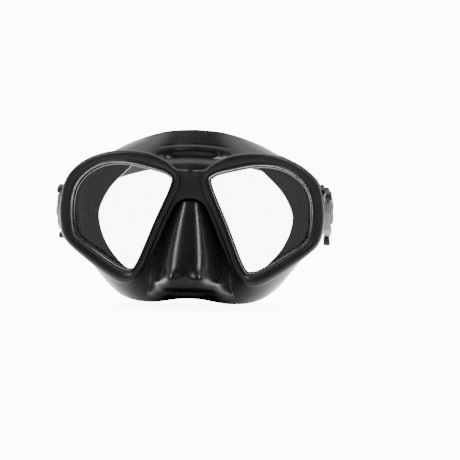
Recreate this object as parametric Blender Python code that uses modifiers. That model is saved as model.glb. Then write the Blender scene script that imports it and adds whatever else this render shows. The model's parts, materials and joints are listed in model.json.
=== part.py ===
"""Snorkel mask: a two-window, low-volume diving mask with a silicone skirt and nose pocket, and a head
strap on two swivelling quick-adjust buckles. Metres, +Z up, the front faces -Y and +X is the wearer's left.
The origin is the middle of the face seal, in the plane of its rearmost edge at the temples."""

import math

import bmesh
import bpy
from mathutils import Vector

MM = 0.001
GAP = 0.0003

# Front surface: two planes swept back from the nose bridge, tipped so that the chin end is nearer the face.
BRIDGE_Y = -0.052
SWEEP = math.tan(math.radians(9.0))
RAKE = 0.06

# Depths behind the front surface of the clamped stack: frame, then clamp, lens and skirt collar.
FRAME_DEPTH = 0.006
FRAME_EDGE = 0.0016
STACK_NEAR = FRAME_DEPTH + GAP
CLAMP_FAR = STACK_NEAR + 0.003
WEB_NEAR = CLAMP_FAR + GAP
LENS_FAR = STACK_NEAR + 0.0035
SEAT_FAR = LENS_FAR + GAP
CAVITY_NEAR = SEAT_FAR + 0.0018
CUT_PAST = 0.004
OPENING_NEAR_Y = -0.027
OPENING_FAR_Y = 0.005

# Offsets of the stacked outlines from the window outline and from the frame's outer outline.
LENS_LAP = 0.0015
COLLAR_WALL = 0.0018
LEDGE = 0.0006
CLAMP_INSET = 0.0010

# Half outlines in millimetres as (x, z), from the top middle round to the bottom middle.
FRAME_HALF = [(0, 28.4), (8, 28.6), (14, 32.8), (25.6, 37.9), (41.8, 39.5), (56.7, 37.2), (70, 31),
              (79, 20.5), (82.3, 5), (82.2, -6), (79.8, -14.8), (73.5, -21.8), (57.8, -33.7), (46, -41),
              (39, -42.6), (33.2, -39.6), (26.5, -30), (20.5, -18.4), (11.3, 2.8), (6.6, 9), (0, 10.9)]
WINDOW = [(13.6, 25), (25, 28.8), (41.6, 32), (56.5, 30.3), (68.6, 22.4), (74.1, 11), (74.5, -5),
          (71.2, -14.8), (60, -22.6), (47.4, -30.6), (38.6, -34.2), (32.8, -30.4), (22, -4.5), (12, 19)]
NECK_HALF = [(0, 25.5), (26, 34.6), (50, 35.4), (70, 27), (79, 5), (77, -13), (66, -24.5), (47, -37),
             (36, -40), (20, -42), (0, -42)]
RIM_HALF = [(0, 55), (28, 51.5), (52, 42), (67, 25), (73, 4), (71, -14), (64.5, -30), (50, -47),
            (35, -54.5), (19, -54.5), (0, -52)]
OPENING_HALF = [(0, 43), (24, 40), (42, 31), (57, 16), (63, 0), (60, -12), (53, -24), (42, -34),
                (26, -40), (0, -38)]
SPAN_STEPS = 3

# Skirt: silicone wall, the belly between collar and rim, and the saddle that fits forehead and lip.
SKIRT_WALL = 0.0020
SKIRT_BELLY = 0.0015
RIM_HALF_WIDTH = 0.073
RIM_DEPTH = 0.024
RIM_MIDDLE_Y = -0.014
BELLY_INSET = 0.0030
RIM_INSET = 0.0055

# Nose pocket sections in millimetres: height, half width at the base, how far forward the ridge stands.
NOSE_SECTIONS = [(8, 4.8, -47.5), (0, 8.0, -53), (-12, 12.0, -59.5), (-24, 16.0, -65.5), (-34, 19.8, -70),
                 (-41, 22.0, -71), (-46.5, 19.0, -66)]
NOSE_BACK = -0.036
NOSE_CAVITY_BACK = -0.032
NOSE_WALL = 0.0018
NOSE_STEPS = 24
NOSE_SQUARENESS = 0.8

# Strap assembly: it swivels about X through both pivots and rests tipped up at the back.
PIVOT_Y = -0.013
PIVOT_Z = 0.0013
STRAP_TILT = math.radians(19.3)

# Buckle base: a round plate and its pivot pin, fixed behind the clamp frame.
BASE_X = 0.0803
BASE_THICK = 0.0023
BASE_RADIUS = 0.0072
TONGUE_HALF = 0.0058
TONGUE_FRONT_Y = -0.0291
TONGUE_EDGE = 0.0004
PIN_RADIUS = 0.0022
PIN_HEAD_RADIUS = 0.0036
PIN_HEAD_THICK = 0.0011

# Buckle body, in its own (y, z) plane about the pivot, millimetres; a yoke open to the rear.
BODY_X = BASE_X + BASE_THICK + GAP
BODY_THICK = 0.0046
BODY_EDGE = 0.0006
BODY_HALF = [(-6.5, 5.5), (-5.2, 8.4), (-1.5, 12), (14.5, 12), (16, 10.5), (16, 7.7), (7.4, 7.7), (5.6, 5.5)]
YOKE_TOP = 0.012

# Roller, its pin, and the strap's loop round it.
ROLLER_Y = 0.012
ROLLER_RADIUS = 0.0020
ROLLER_RIB = 0.0003
ROLLER_RIBS = 12
ROLLER_BORE = 0.0011
ROLLER_HALF = 0.0073
ROLLER_PIN_RADIUS = 0.0008
ROLLER_PIN_HALF = 0.0110

# Release tabs: pad, stem and collar, with a coil spring under each in a stepped bore.
TAB_Y = 0.0035
TAB_TRAVEL = 0.0013
PAD_HALF = (0.0021, 0.0048, 0.0019)
PAD_BOTTOM = YOKE_TOP + TAB_TRAVEL + GAP
PAD_EDGE = 0.0009
STEM_RADIUS = 0.0012
COLLAR_RADIUS = 0.0015
COLLAR_LOW = 0.0090
COLLAR_HIGH = 0.0101
BORE_RADIUS = 0.0018
BORE_LOW = 0.0056
BORE_STEP = COLLAR_HIGH + GAP
SPRING_RADIUS = 0.0011
SPRING_WIRE = 0.00025
SPRING_TURNS = 4
SPRING_STEPS = 10

# Strap, in the pivot's own (x, y) plane, millimetres; one side from the roller to the back of the head.
STRAP_THICK = 0.0018
STRAP_HALF = 0.00725
STRAP_WIDE_HALF = 0.0085
STRAP_WIDEN_FROM = 0.090
STRAP_WIDEN_OVER = 0.050
SLIT_HALF = 0.0020
SLIT_REACH = 0.040
STRAP_SIDE = [(81.8, 36), (77.6, 66), (66, 98), (47, 125), (27, 141), (12, 147)]
STRAP_BACK = (0, 148.5)
TAIL_LIFT = STRAP_THICK + 0.0005
TAIL_START_Y = 0.020
TAIL_END_Y = 0.052
LOOP_STEPS = 8

# Keeper: a silicone band round strap and tail.
KEEPER_Y = 0.034
KEEPER_LONG = 0.008
KEEPER_WALL = 0.0013
KEEPER_EDGE = 0.0005

BLACK = (0.014, 0.014, 0.015)
GREY = (0.36, 0.36, 0.38)


def clear_scene():
    for item in list(bpy.data.objects):
        bpy.data.objects.remove(item, do_unlink=True)


def new_collection(name, hidden=False):
    group = bpy.data.collections.new(name)
    bpy.context.scene.collection.children.link(group)
    group.hide_render = hidden
    return group


def make_material(name, colour, roughness, metallic=0.0, transmission=0.0):
    made = bpy.data.materials.new(name)
    made.use_nodes = True
    shader = made.node_tree.nodes["Principled BSDF"]
    shader.inputs["Base Color"].default_value = (*colour, 1.0)
    shader.inputs["Roughness"].default_value = roughness
    shader.inputs["Metallic"].default_value = metallic
    shader.inputs["Transmission Weight"].default_value = transmission
    return made


def front_y(x, z):
    """The front surface of the frame at (x, z)."""
    return BRIDGE_Y + SWEEP * abs(x) - RAKE * z


def smooth_loop(points, closed=True):
    """A Catmull-Rom curve through points given in millimetres, in metres."""
    count = len(points)
    spans = count if closed else count - 1
    result = []
    for i in range(spans):
        picks = [(i + k) % count if closed else min(max(i + k, 0), count - 1) for k in (-1, 0, 1, 2)]
        a, b, c, d = (Vector(points[k]) for k in picks)
        for step in range(SPAN_STEPS):
            t = step / SPAN_STEPS
            turn = 2 * b + (c - a) * t + (2 * a - 5 * b + 4 * c - d) * t * t
            result.append((turn + (3 * b - a - 3 * c + d) * t ** 3) * 0.5 * MM)
    if not closed:
        result.append(Vector(points[-1]) * MM)
    return result


def mirrored(half):
    """A closed outline from a half outline whose ends lie on the middle plane."""
    return half + [(-x, z) for x, z in reversed(half[1:-1])]


def flipped(loop):
    return [Vector((-p.x, p.y)) for p in reversed(loop)]


def grown(loop, amount):
    """A clockwise loop moved outwards by an amount."""
    count = len(loop)
    moved = []
    for i, point in enumerate(loop):
        along = (loop[(i + 1) % count] - loop[i - 1]).normalized()
        moved.append(point + Vector((-along.y, along.x)) * amount)
    return moved


def add_object(name, mesh, group, material=None, parent=None):
    item = bpy.data.objects.new(name, mesh)
    group.objects.link(item)
    item.parent = parent
    if material:
        mesh.materials.clear()
        mesh.materials.append(material)
    return item


def mesh_from(bm, name):
    bmesh.ops.remove_doubles(bm, verts=bm.verts, dist=0.00001)
    bmesh.ops.recalc_face_normals(bm, faces=bm.faces)
    mesh = bpy.data.meshes.new(name)
    bm.to_mesh(mesh)
    bm.free()
    mesh.shade_smooth()
    mesh.set_sharp_from_angle(angle=math.radians(40))
    return mesh


def as_mesh(curve_object):
    """The mesh of a curve object with its caps welded; the curve is removed."""
    graph = bpy.context.evaluated_depsgraph_get()
    graph.update()
    source = bpy.data.meshes.new_from_object(curve_object.evaluated_get(graph))
    bm = bmesh.new()
    bm.from_mesh(source)
    curve = curve_object.data
    bpy.data.objects.remove(curve_object)
    bpy.data.curves.remove(curve)
    bpy.data.meshes.remove(source)
    bmesh.ops.remove_doubles(bm, verts=bm.verts, dist=0.00001)
    return bm


def flat_sheet(name, loops, thickness, edge=0.0):
    """A filled flat outline with holes, thickness along its own Z."""
    curve = bpy.data.curves.new(name, "CURVE")
    curve.dimensions = "2D"
    curve.fill_mode = "BOTH"
    curve.extrude = thickness / 2 - edge
    curve.bevel_depth = edge
    curve.bevel_resolution = 1
    curve.offset = -edge
    for loop in loops:
        spline = curve.splines.new("POLY")
        spline.points.add(len(loop) - 1)
        for point, (u, v) in zip(spline.points, loop):
            point.co = (u, v, 0, 1)
        spline.use_cyclic_u = True
    item = bpy.data.objects.new(name, curve)
    bpy.context.scene.collection.objects.link(item)
    return as_mesh(item)


def front_plate(name, loops, near, far, edge=0.0):
    """A sheet laid behind the front surface, between two depths."""
    bm = flat_sheet(name, loops, far - near, edge)
    geometry = bm.verts[:] + bm.edges[:] + bm.faces[:]
    bmesh.ops.bisect_plane(bm, geom=geometry, plane_co=(0, 0, 0), plane_no=(1, 0, 0))
    middle = (near + far) / 2
    for vert in bm.verts:
        x, z, depth = vert.co
        vert.co = (x, front_y(x, z) + middle - depth, z)
    return mesh_from(bm, name)


def loft(name, rings, first_middle, last_middle):
    """A closed solid through rings of equal counts, with fan caps about two middle points."""
    bm = bmesh.new()
    loops = [[bm.verts.new(point) for point in ring] for ring in rings]
    count = len(rings[0])
    for near, far in zip(loops, loops[1:]):
        for i in range(count):
            j = (i + 1) % count
            bm.faces.new((near[i], near[j], far[j], far[i]))
    for loop, middle in ((loops[0], first_middle), (loops[-1], last_middle)):
        cap = bm.faces.new(loop)
        poked = bmesh.ops.poke(bm, faces=[cap])
        poked["verts"][0].co = middle
    return mesh_from(bm, name)


def cylinder(name, radius, start, end, axis, centre, sides=24):
    """A cylinder along X or Z through a centre, between two coordinates on that axis."""
    bm = bmesh.new()
    bmesh.ops.create_cone(bm, cap_ends=True, segments=sides, radius1=radius, radius2=radius,
                          depth=abs(end - start))
    middle = (start + end) / 2
    for vert in bm.verts:
        u, v, w = vert.co
        if axis == "X":
            vert.co = (w + middle, u + centre[1], v + centre[2])
        else:
            vert.co = (u + centre[0], v + centre[1], w + middle)
    return mesh_from(bm, name)


def box(name, low, high, edge=0.0):
    bm = bmesh.new()
    bmesh.ops.create_cube(bm, size=1.0)
    for vert in bm.verts:
        vert.co = [lo + (c + 0.5) * (hi - lo) for c, lo, hi in zip(vert.co, low, high)]
    if edge:
        bmesh.ops.bevel(bm, geom=bm.edges[:], offset=edge, offset_type="OFFSET", segments=2, profile=0.5,
                        affect="EDGES")
    return mesh_from(bm, name)


def cutter(name, mesh, parent=None):
    item = add_object(name, mesh, cutters, parent=parent)
    item.hide_render = True
    item.display_type = "WIRE"
    return item


def combine(item, operation, tool):
    modifier = item.modifiers.new(operation.title() + " " + tool.name, "BOOLEAN")
    modifier.operation = operation
    modifier.solver = "EXACT"
    modifier.object = tool


def both_sides():
    return (("left", 1), ("right", -1))


def side_mesh(mesh, side):
    """A mesh built for the wearer's left, mirrored for the right."""
    if side > 0:
        return mesh
    for vert in mesh.vertices:
        vert.co.x = -vert.co.x
    mesh.flip_normals()
    return mesh


def make_front_frame():
    outer = smooth_loop(mirrored(FRAME_HALF))
    mesh = front_plate("front_frame", [outer, window, flipped(window)], 0, FRAME_DEPTH, FRAME_EDGE)
    add_object("front_frame", mesh, mask, frame_plastic)


def make_clamp_frame():
    outer = grown(smooth_loop(mirrored(FRAME_HALF)), -CLAMP_INSET)
    hole = grown(window, LENS_LAP + GAP + COLLAR_WALL + GAP)
    mesh = front_plate("clamp_frame", [outer, hole, flipped(hole)], STACK_NEAR, CLAMP_FAR)
    add_object("clamp_frame", mesh, mask, clamp_plastic)


def make_lenses():
    pane = grown(window, LENS_LAP)
    for word, side in both_sides():
        loop = pane if side > 0 else flipped(pane)
        mesh = front_plate(word + "_lens", [loop], STACK_NEAR, LENS_FAR)
        add_object(word + "_lens", mesh, mask, glass)


def rim_y(x):
    """How far back the face seal reaches: least at forehead and lip, most at the temples."""
    return -RIM_DEPTH * (1 - (x / RIM_HALF_WIDTH) ** 2)


def skirt_rings(near, back_off, neck_inset=0.0, belly_inset=0.0, rim_inset=0.0):
    """Collar, belly and rim rings of the skirt, or of its hollow when they are drawn in."""
    neck = grown(smooth_loop(mirrored(NECK_HALF)), -neck_inset)
    rim = grown(smooth_loop(mirrored(RIM_HALF)), -rim_inset)
    first = [Vector((p.x, front_y(p.x, p.y) + near, p.y)) for p in neck]
    last = [Vector((p.x, rim_y(p.x) - back_off, p.y)) for p in rim]
    belly = []
    full_rim = smooth_loop(mirrored(RIM_HALF))
    for a, b in zip(smooth_loop(mirrored(NECK_HALF)), full_rim):
        middle = (a + b) / 2
        outward = middle.normalized()
        level = (front_y(a.x, a.y) + WEB_NEAR + rim_y(b.x)) / 2
        place = middle + outward * (SKIRT_BELLY - belly_inset)
        belly.append(Vector((place.x, level, place.y)))
    return [first, belly, last]


def nose_rings(inset, back):
    """Level sections of the nose pocket, rounded at the ridge and open to the back."""
    rings = []
    for height, half_width, ridge in NOSE_SECTIONS:
        half = half_width * MM - inset
        front = ridge * MM + inset
        ring = []
        for i in range(NOSE_STEPS):
            turn = 2 * math.pi * i / NOSE_STEPS
            across = math.copysign(abs(math.cos(turn)) ** NOSE_SQUARENESS, math.cos(turn))
            ahead = math.copysign(abs(math.sin(turn)) ** NOSE_SQUARENESS, math.sin(turn))
            ring.append(Vector((half * across, (front + back) / 2 - (back - front) / 2 * ahead, height * MM)))
        rings.append(ring)
    for point in rings[0]:
        point.z -= inset
    for point in rings[-1]:
        point.z += inset
    return rings


def nose_solid(name, inset, back):
    rings = nose_rings(inset, back)
    middles = []
    for ring in (rings[0], rings[-1]):
        ridge = min(point.y for point in ring)
        middles.append(Vector((0, (ridge + back) / 2, ring[0].z)))
    return loft(name, rings, *middles)


def make_skirt():
    outer = loft("skirt", skirt_rings(WEB_NEAR, 0), (0, front_y(0, 0) + WEB_NEAR, 0), (0, RIM_MIDDLE_Y, 0))
    skirt = add_object("skirt", outer, mask, silicone)
    inner = loft("cavity", skirt_rings(CAVITY_NEAR, SKIRT_WALL, SKIRT_WALL, BELLY_INSET, RIM_INSET),
                 (0, front_y(0, 0) + CAVITY_NEAR, 0), (0, RIM_MIDDLE_Y - SKIRT_WALL, 0))
    collar = grown(window, LENS_LAP + GAP + COLLAR_WALL)
    seat = grown(window, LENS_LAP + GAP)
    ledge = grown(window, -LEDGE)
    for word, side in both_sides():
        turned = (lambda loop: loop) if side > 0 else flipped
        mesh = front_plate("collar", [turned(collar)], STACK_NEAR, WEB_NEAR + GAP)
        combine(skirt, "UNION", cutter(word + "_collar_tool", mesh))
    combine(skirt, "UNION", cutter("nose_tool", nose_solid("nose", 0, NOSE_BACK)))
    combine(skirt, "DIFFERENCE", cutter("cavity_tool", inner))
    combine(skirt, "DIFFERENCE", cutter("nose_cavity_tool", nose_solid("nose_cavity", NOSE_WALL, NOSE_CAVITY_BACK)))
    for word, side in both_sides():
        turned = (lambda loop: loop) if side > 0 else flipped
        deep = front_plate("seat", [turned(seat)], STACK_NEAR - CUT_PAST, SEAT_FAR)
        through = front_plate("ledge", [turned(ledge)], STACK_NEAR, CAVITY_NEAR + CUT_PAST)
        combine(skirt, "DIFFERENCE", cutter(word + "_seat_tool", deep))
        combine(skirt, "DIFFERENCE", cutter(word + "_ledge_tool", through))
    opening = smooth_loop(mirrored(OPENING_HALF))
    rings = [[Vector((p.x, y, p.y)) for p in opening] for y in (OPENING_NEAR_Y, OPENING_FAR_Y)]
    mesh = loft("opening", rings, (0, OPENING_NEAR_Y, 0), (0, OPENING_FAR_Y, 0))
    combine(skirt, "DIFFERENCE", cutter("opening_tool", mesh))


def make_buckle_base(word, side):
    """Round plate, forward tongue and pivot pin in one moulding."""
    centre = (0, PIVOT_Y, PIVOT_Z)
    plate = cylinder("plate", BASE_RADIUS, BASE_X, BASE_X + BASE_THICK, "X", centre, 32)
    item = add_object(word + "_buckle_base", side_mesh(plate, side), mask, buckle_grey)
    tongue = box("tongue", (BASE_X, TONGUE_FRONT_Y, PIVOT_Z - TONGUE_HALF),
                 (BASE_X + BASE_THICK, PIVOT_Y, PIVOT_Z + TONGUE_HALF), TONGUE_EDGE)
    combine(item, "UNION", cutter(word + "_tongue_tool", side_mesh(tongue, side)))
    outer_x = BODY_X + BODY_THICK + GAP
    pin = cylinder("pin", PIN_RADIUS, BASE_X + BASE_THICK / 2, outer_x + PIN_HEAD_THICK / 2, "X", centre)
    combine(item, "UNION", cutter(word + "_pin_tool", side_mesh(pin, side)))
    head = cylinder("head", PIN_HEAD_RADIUS, outer_x, outer_x + PIN_HEAD_THICK, "X", centre)
    combine(item, "UNION", cutter(word + "_head_tool", side_mesh(head, side)))


def make_buckle_body(word, side):
    """Yoke with the pivot hole, the roller pin's bores and the tabs' stepped bores."""
    outline = [Vector(p) * MM for p in BODY_HALF]
    outline += [Vector((p.x, -p.y)) for p in reversed(outline)]
    bm = flat_sheet("yoke", [outline], BODY_THICK, BODY_EDGE)
    for vert in bm.verts:
        u, v, w = vert.co
        vert.co = (w + BODY_X + BODY_THICK / 2, u, v)
    item = add_object(word + "_buckle_body", side_mesh(mesh_from(bm, "yoke"), side), mask, buckle_grey, pivot)
    hole = cylinder("hole", PIN_RADIUS + GAP, BODY_X - 0.001, BODY_X + BODY_THICK + 0.001, "X", (0, 0, 0))
    combine(item, "DIFFERENCE", cutter(word + "_hole_tool", side_mesh(hole, side), pivot))
    reach = ROLLER_PIN_HALF + GAP
    bore = cylinder("bore", ROLLER_PIN_RADIUS + GAP, -reach, reach, "Z", (strap_x, ROLLER_Y, 0), 16)
    combine(item, "DIFFERENCE", cutter(word + "_roller_bore_tool", side_mesh(bore, side), pivot))
    for level in (1, -1):
        tag = word + ("_upper" if level > 0 else "_lower")
        centre = (strap_x, TAB_Y, 0)
        wide = cylinder("wide", BORE_RADIUS, level * BORE_LOW, level * BORE_STEP, "Z", centre, 16)
        mouth = cylinder("mouth", STEM_RADIUS + GAP, level * (BORE_STEP - 0.0005), level * (YOKE_TOP + 0.001),
                         "Z", centre, 16)
        combine(item, "DIFFERENCE", cutter(tag + "_bore_tool", side_mesh(wide, side), pivot))
        combine(item, "DIFFERENCE", cutter(tag + "_mouth_tool", side_mesh(mouth, side), pivot))


def make_tab(word, side, tag, level):
    """Thumb pad with its stem and stop collar."""
    centre = (strap_x, TAB_Y, 0)
    low = min(level * PAD_BOTTOM, level * (PAD_BOTTOM + 2 * PAD_HALF[2]))
    pad = box("pad", (strap_x - PAD_HALF[0], TAB_Y - PAD_HALF[1], low),
              (strap_x + PAD_HALF[0], TAB_Y + PAD_HALF[1], low + 2 * PAD_HALF[2]), PAD_EDGE)
    name = word + "_" + tag + "_tab"
    item = add_object(name, side_mesh(pad, side), mask, tab_black, pivot)
    stem = cylinder("stem", STEM_RADIUS, level * (COLLAR_HIGH - 0.0003), level * (PAD_BOTTOM + 0.001), "Z",
                    centre, 16)
    collar = cylinder("collar", COLLAR_RADIUS, level * COLLAR_LOW, level * COLLAR_HIGH, "Z", centre, 16)
    combine(item, "UNION", cutter(name + "_stem_tool", side_mesh(stem, side), pivot))
    combine(item, "UNION", cutter(name + "_collar_tool", side_mesh(collar, side), pivot))


def make_spring(word, side, tag, level):
    """Coil between the bore's floor and the tab's collar."""
    low = BORE_LOW + GAP + SPRING_WIRE
    high = COLLAR_LOW - GAP - SPRING_WIRE
    steps = SPRING_TURNS * SPRING_STEPS
    curve = bpy.data.curves.new("coil", "CURVE")
    curve.dimensions = "3D"
    curve.bevel_depth = SPRING_WIRE
    curve.bevel_resolution = 1
    curve.use_fill_caps = True
    spline = curve.splines.new("POLY")
    spline.points.add(steps)
    for i, point in enumerate(spline.points):
        turn = 2 * math.pi * i / SPRING_STEPS
        height = level * (low + (high - low) * i / steps)
        point.co = (strap_x + SPRING_RADIUS * math.cos(turn), TAB_Y + SPRING_RADIUS * math.sin(turn), height, 1)
    item = bpy.data.objects.new("coil", curve)
    bpy.context.scene.collection.objects.link(item)
    mesh = mesh_from(as_mesh(item), "coil")
    add_object(word + "_" + tag + "_spring", side_mesh(mesh, side), mask, steel, pivot)


def make_roller(word, side):
    """Ribbed sleeve that the strap runs round, and the pin it turns on."""
    bm = bmesh.new()
    bmesh.ops.create_cone(bm, cap_ends=True, segments=2 * ROLLER_RIBS, radius1=ROLLER_RADIUS,
                          radius2=ROLLER_RADIUS, depth=2 * ROLLER_HALF)
    for vert in bm.verts:
        turn = math.atan2(vert.co.y, vert.co.x) / (2 * math.pi) * 2 * ROLLER_RIBS
        if round(turn) % 2:
            shrink = (ROLLER_RADIUS - ROLLER_RIB) / ROLLER_RADIUS
            vert.co = (vert.co.x * shrink, vert.co.y * shrink, vert.co.z)
    axle = bpy.data.objects.new(word + "_roller_axis", None)
    mask.objects.link(axle)
    axle.parent = pivot
    axle.location = (side * strap_x, ROLLER_Y, 0)
    item = add_object(word + "_roller", mesh_from(bm, "roller"), mask, roller_grey, axle)
    reach = ROLLER_HALF + 0.001
    bore = cylinder("roller_bore", ROLLER_BORE, -reach, reach, "Z", (0, 0, 0), 16)
    combine(item, "DIFFERENCE", cutter(word + "_roller_tool", bore, axle))
    pin = cylinder("roller_pin", ROLLER_PIN_RADIUS, -ROLLER_PIN_HALF, ROLLER_PIN_HALF, "Z", (0, 0, 0), 16)
    add_object(word + "_roller_pin", pin, mask, steel, axle)


def strap_route():
    """Middle line of the strap from one tail end to the other, as (x, y) about the pivot."""
    radius = ROLLER_RADIUS + GAP + STRAP_THICK / 2
    loop = []
    for i in range(LOOP_STEPS + 1):
        turn = math.pi * i / LOOP_STEPS
        loop.append(Vector((strap_x + radius * math.cos(turn), ROLLER_Y - radius * math.sin(turn))))
    side = smooth_loop([tuple(loop[-1] / MM)] + STRAP_SIDE + [STRAP_BACK], closed=False)
    tail = []
    for point in side:
        if TAIL_START_Y < point.y < TAIL_END_Y:
            tail.append(point + Vector((TAIL_LIFT, 0)))
    right = list(reversed(tail)) + loop + side[1:]
    left = [Vector((-p.x, p.y)) for p in reversed(right[:-1])]
    return right + left


def strap_half_width(point):
    t = min(max((point.y - STRAP_WIDEN_FROM) / STRAP_WIDEN_OVER, 0.0), 1.0)
    return STRAP_HALF + (STRAP_WIDE_HALF - STRAP_HALF) * t * t * (3 - 2 * t)


def make_strap():
    """Flat band of silicone, wider and slit at the back of the head."""
    route = strap_route()
    bm = bmesh.new()
    rows = []
    for point in route:
        half = strap_half_width(point)
        rows.append([bm.verts.new((point.x, point.y, z)) for z in (-half, -SLIT_HALF, SLIT_HALF, half)])
    for row, after in zip(rows, rows[1:]):
        behind = min(row[0].co.y, after[0].co.y) > STRAP_WIDEN_FROM
        slit = behind and max(abs(row[0].co.x), abs(after[0].co.x)) < SLIT_REACH
        for k in range(3):
            if not (slit and k == 1):
                bm.faces.new((row[k], row[k + 1], after[k + 1], after[k]))
    mesh = bpy.data.meshes.new("strap")
    bm.to_mesh(mesh)
    bm.free()
    mesh.shade_smooth()
    strap = add_object("strap", mesh, mask, silicone, pivot)
    wall = strap.modifiers.new("Wall", "SOLIDIFY")
    wall.thickness = STRAP_THICK
    wall.offset = 0.0
    wall.use_even_offset = True


def make_keeper(word, side):
    """Square band that holds the strap's tail down."""
    route = [p for p in strap_route() if p.x > 0 and abs(p.y - KEEPER_Y) < KEEPER_LONG]
    lean = min(p.x for p in route) - STRAP_THICK / 2 - 2 * GAP
    out = max(p.x for p in route) + STRAP_THICK / 2 + 2 * GAP
    half = STRAP_HALF + 2 * GAP
    near = KEEPER_Y - KEEPER_LONG / 2
    far = KEEPER_Y + KEEPER_LONG / 2
    outer = box("keeper", (lean - KEEPER_WALL, near, -half - KEEPER_WALL),
                (out + KEEPER_WALL, far, half + KEEPER_WALL), KEEPER_EDGE)
    item = add_object(word + "_strap_keeper", side_mesh(outer, side), mask, silicone, pivot)
    hole = box("keeper_hole", (lean, near - 0.001, -half), (out, far + 0.001, half))
    combine(item, "DIFFERENCE", cutter(word + "_keeper_tool", side_mesh(hole, side), pivot))


clear_scene()
mask = new_collection("snorkel_mask")
cutters = new_collection("cutters", hidden=True)
frame_plastic = make_material("frame_plastic", BLACK, 0.42)
clamp_plastic = make_material("clamp_plastic", BLACK, 0.50)
silicone = make_material("silicone", (0.010, 0.010, 0.011), 0.30)
glass = make_material("glass", (0.92, 0.96, 0.95), 0.02, transmission=1.0)
buckle_grey = make_material("buckle_grey", GREY, 0.38)
roller_grey = make_material("roller_grey", (0.45, 0.45, 0.47), 0.35)
tab_black = make_material("tab_black", (0.03, 0.03, 0.032), 0.40)
steel = make_material("steel", (0.62, 0.62, 0.63), 0.25, metallic=1.0)

window = smooth_loop(WINDOW)
strap_x = BODY_X + BODY_THICK / 2
pivot = bpy.data.objects.new("strap_pivot", None)
mask.objects.link(pivot)
pivot.location = (0, PIVOT_Y, PIVOT_Z)
pivot.rotation_euler = (STRAP_TILT, 0, 0)

make_front_frame()
make_clamp_frame()
make_lenses()
make_skirt()
make_strap()
for side_word, side_sign in both_sides():
    make_buckle_base(side_word, side_sign)
    make_buckle_body(side_word, side_sign)
    make_roller(side_word, side_sign)
    make_keeper(side_word, side_sign)
    for tab_tag, tab_level in (("upper", 1), ("lower", -1)):
        make_tab(side_word, side_sign, tab_tag, tab_level)
        make_spring(side_word, side_sign, tab_tag, tab_level)
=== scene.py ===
import json
import math

import bmesh
import bpy
from mathutils import Matrix
from mathutils import Vector


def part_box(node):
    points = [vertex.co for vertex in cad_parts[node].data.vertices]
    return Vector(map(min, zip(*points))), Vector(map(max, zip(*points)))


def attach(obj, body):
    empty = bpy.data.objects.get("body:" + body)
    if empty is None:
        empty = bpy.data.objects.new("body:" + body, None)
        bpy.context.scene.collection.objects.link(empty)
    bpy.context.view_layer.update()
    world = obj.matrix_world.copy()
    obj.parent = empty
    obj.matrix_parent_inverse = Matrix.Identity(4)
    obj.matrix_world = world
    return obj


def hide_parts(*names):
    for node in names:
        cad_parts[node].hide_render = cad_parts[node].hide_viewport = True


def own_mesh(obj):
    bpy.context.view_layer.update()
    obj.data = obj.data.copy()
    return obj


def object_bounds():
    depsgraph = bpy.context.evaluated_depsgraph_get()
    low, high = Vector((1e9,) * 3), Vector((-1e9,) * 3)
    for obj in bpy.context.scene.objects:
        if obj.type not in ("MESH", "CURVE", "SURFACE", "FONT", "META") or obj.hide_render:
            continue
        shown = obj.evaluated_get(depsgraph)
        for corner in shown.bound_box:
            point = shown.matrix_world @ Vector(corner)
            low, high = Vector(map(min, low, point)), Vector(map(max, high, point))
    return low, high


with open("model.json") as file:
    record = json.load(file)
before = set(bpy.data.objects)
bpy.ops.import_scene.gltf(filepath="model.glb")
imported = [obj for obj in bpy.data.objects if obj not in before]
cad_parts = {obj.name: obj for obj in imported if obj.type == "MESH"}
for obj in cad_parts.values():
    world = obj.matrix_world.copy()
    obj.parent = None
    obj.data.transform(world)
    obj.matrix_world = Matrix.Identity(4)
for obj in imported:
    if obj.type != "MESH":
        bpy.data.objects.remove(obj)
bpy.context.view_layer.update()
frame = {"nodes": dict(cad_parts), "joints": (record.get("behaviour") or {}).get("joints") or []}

# Camera: a little to the wearer's left of straight ahead, level with the windows and rolled by a degree
# and a half, with the mask standing left of the middle of the picture.
PICTURE_WIDTH = 0.2815
CAMERA_DISTANCE = 0.70
CAMERA_YAW = math.radians(2.8)
CAMERA_ROLL = math.radians(1.6)
MASK_LEFT_OF_MIDDLE = 0.0246
MASK_ABOVE_MIDDLE = 0.0086
SENSOR = 36.0
AIM_DEPTH = 0.007

bezel_low, bezel_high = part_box("front_frame")
aim = Vector((0, bezel_low.y + AIM_DEPTH, 0))
ahead = Vector((-math.sin(CAMERA_YAW), math.cos(CAMERA_YAW), 0))
level = Vector((math.cos(CAMERA_YAW), math.sin(CAMERA_YAW), 0))
right = level * math.cos(CAMERA_ROLL) + Vector((0, 0, 1)) * math.sin(CAMERA_ROLL)
up = right.cross(ahead)
camera = bpy.data.objects.new("camera", bpy.data.cameras.new("camera"))
bpy.context.scene.collection.objects.link(camera)
camera.data.sensor_width = SENSOR
camera.data.lens = SENSOR * CAMERA_DISTANCE / PICTURE_WIDTH
camera.location = aim + right * MASK_LEFT_OF_MIDDLE - up * MASK_ABOVE_MIDDLE - ahead * CAMERA_DISTANCE
camera.rotation_mode = "QUATERNION"
camera.rotation_quaternion = Matrix((right, up, -ahead)).transposed().to_quaternion()
bpy.context.scene.camera = camera

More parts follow.
